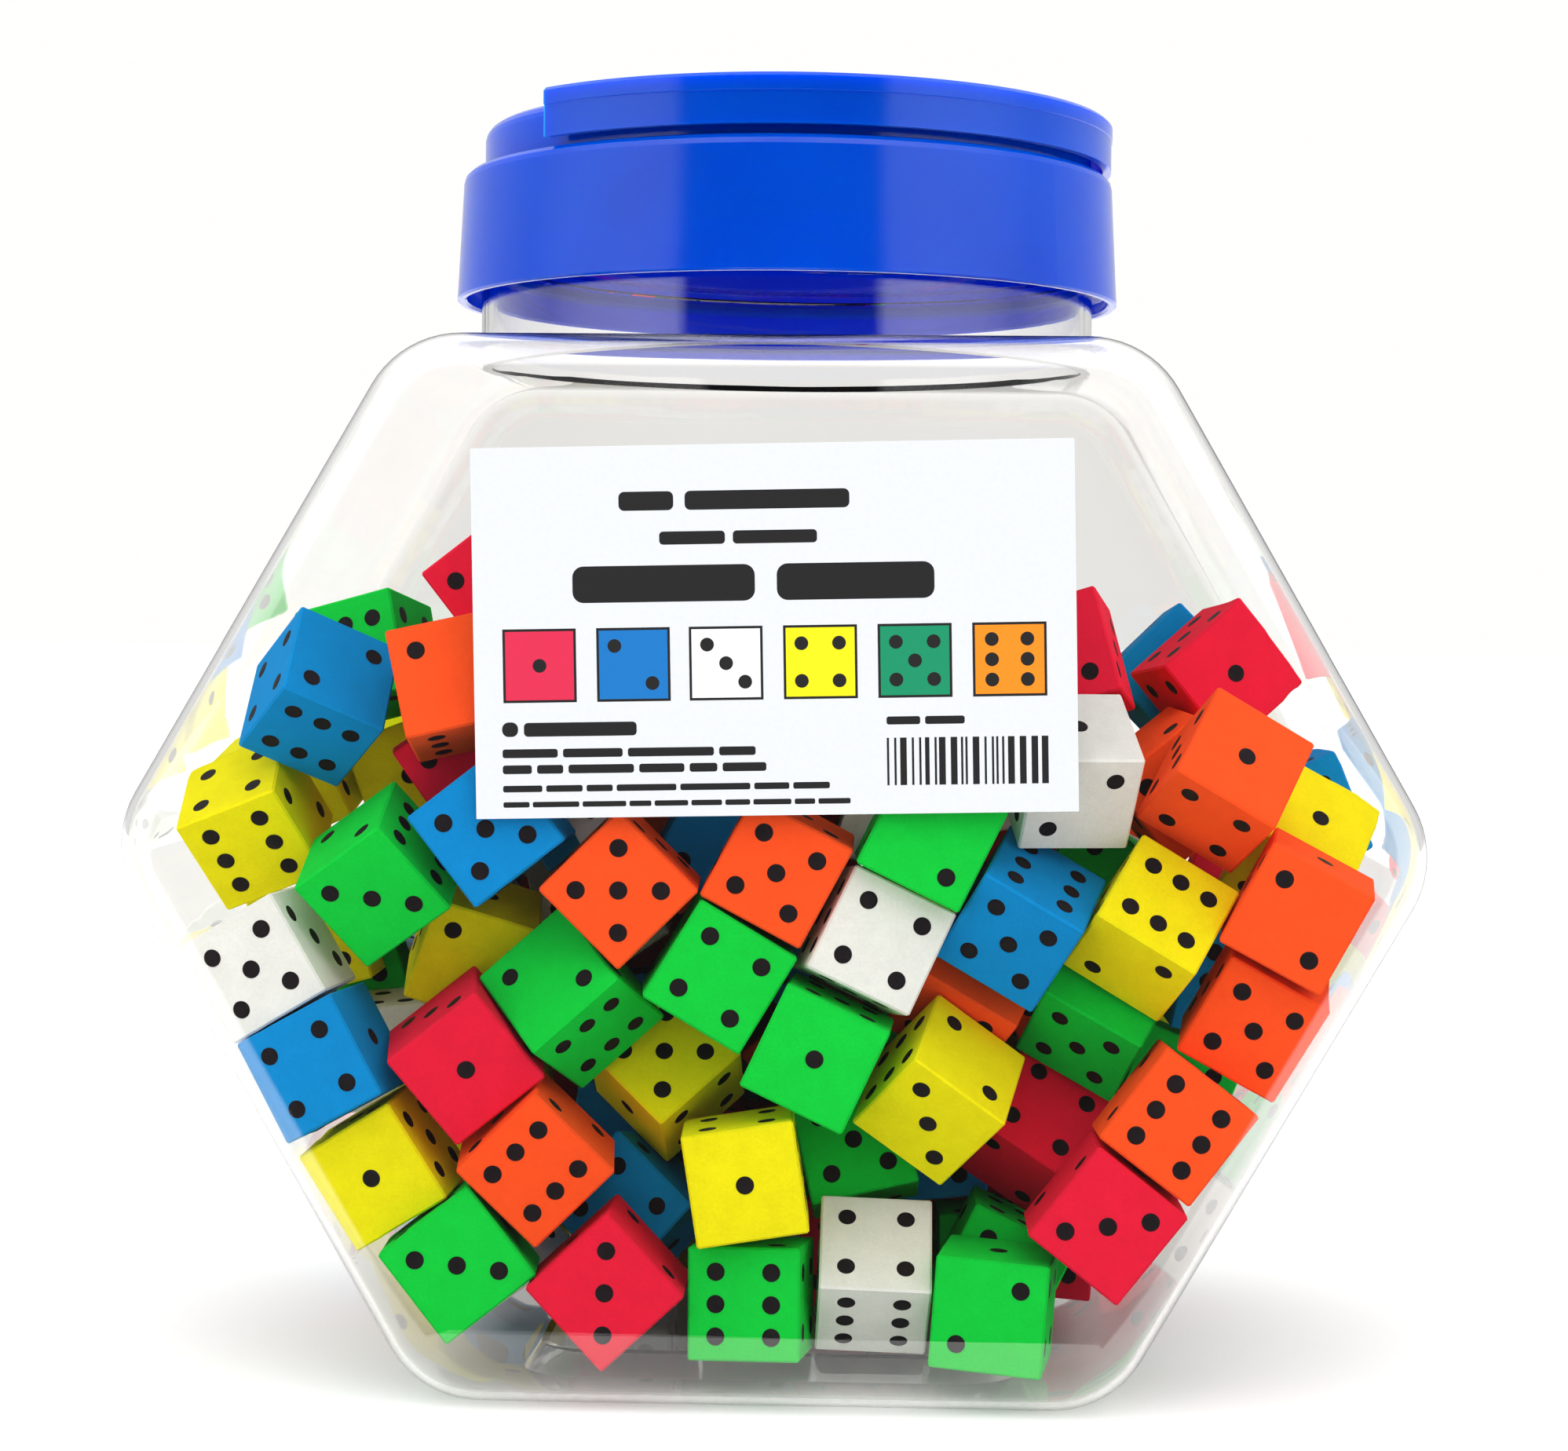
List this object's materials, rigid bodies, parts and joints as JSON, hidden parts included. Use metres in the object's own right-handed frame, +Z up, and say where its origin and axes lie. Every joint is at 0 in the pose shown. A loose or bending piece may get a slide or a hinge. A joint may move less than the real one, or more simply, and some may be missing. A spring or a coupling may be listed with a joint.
{
  "type": "clear tub of foam dice",
  "caption": "Clear hexagonal tub with a screw cap, a hinged flip-top flap and a plain front label, filled with loose six-colour foam dice.",
  "frame": {"origin": "centre of the tub's footprint on the table", "axes": "+Z up along the cap's axis, -Y towards the labelled front, +X to the label's right"},
  "size_m": [0.1816, 0.1041, 0.1846],
  "materials": {
    "clear_pet": "clear gloss",
    "label_paper": "matte paper",
    "liner_foam": "matte foam",
    "cap_blue": "gloss",
    "foam_red": "matte foam",
    "foam_blue": "matte foam",
    "foam_white": "matte foam",
    "foam_yellow": "matte foam",
    "foam_green": "matte foam",
    "foam_orange": "matte foam"
  },
  "bodies": {
    "tub": {"tub_body": "clear_pet", "paper_label": "label_paper", "red_dice": "foam_red", "blue_dice": "foam_blue", "white_dice": "foam_white", "yellow_dice": "foam_yellow", "green_dice": "foam_green", "orange_dice": "foam_orange"},
    "liner": {"seal_liner": "liner_foam"},
    "cap": {"screw_cap": "cap_blue"},
    "flap": {"flip_flap": "cap_blue"}
  },
  "joints": [
    {"name": "lid_lift", "type": "slide", "parent": "tub", "child": "liner", "axis": [0, 0, 1], "range_m": [0, 0.022]},
    {"name": "lid_turn", "type": "hinge", "parent": "liner", "child": "cap", "pos_m": [0, 0, 0.165], "axis": [0, 0, 1], "range_deg": [0, 1580]},
    {"name": "flap_hinge", "type": "hinge", "parent": "cap", "child": "flap", "pos_m": [-0.00357, 0.00274, 0.1826], "axis": [-0.6088, -0.7934, 0], "range_deg": [0, 100]}
  ],
  "couplings": [
    {"joint": "lid_lift", "follows": "lid_turn", "m_per_rad": 0.00079577}
  ]
}
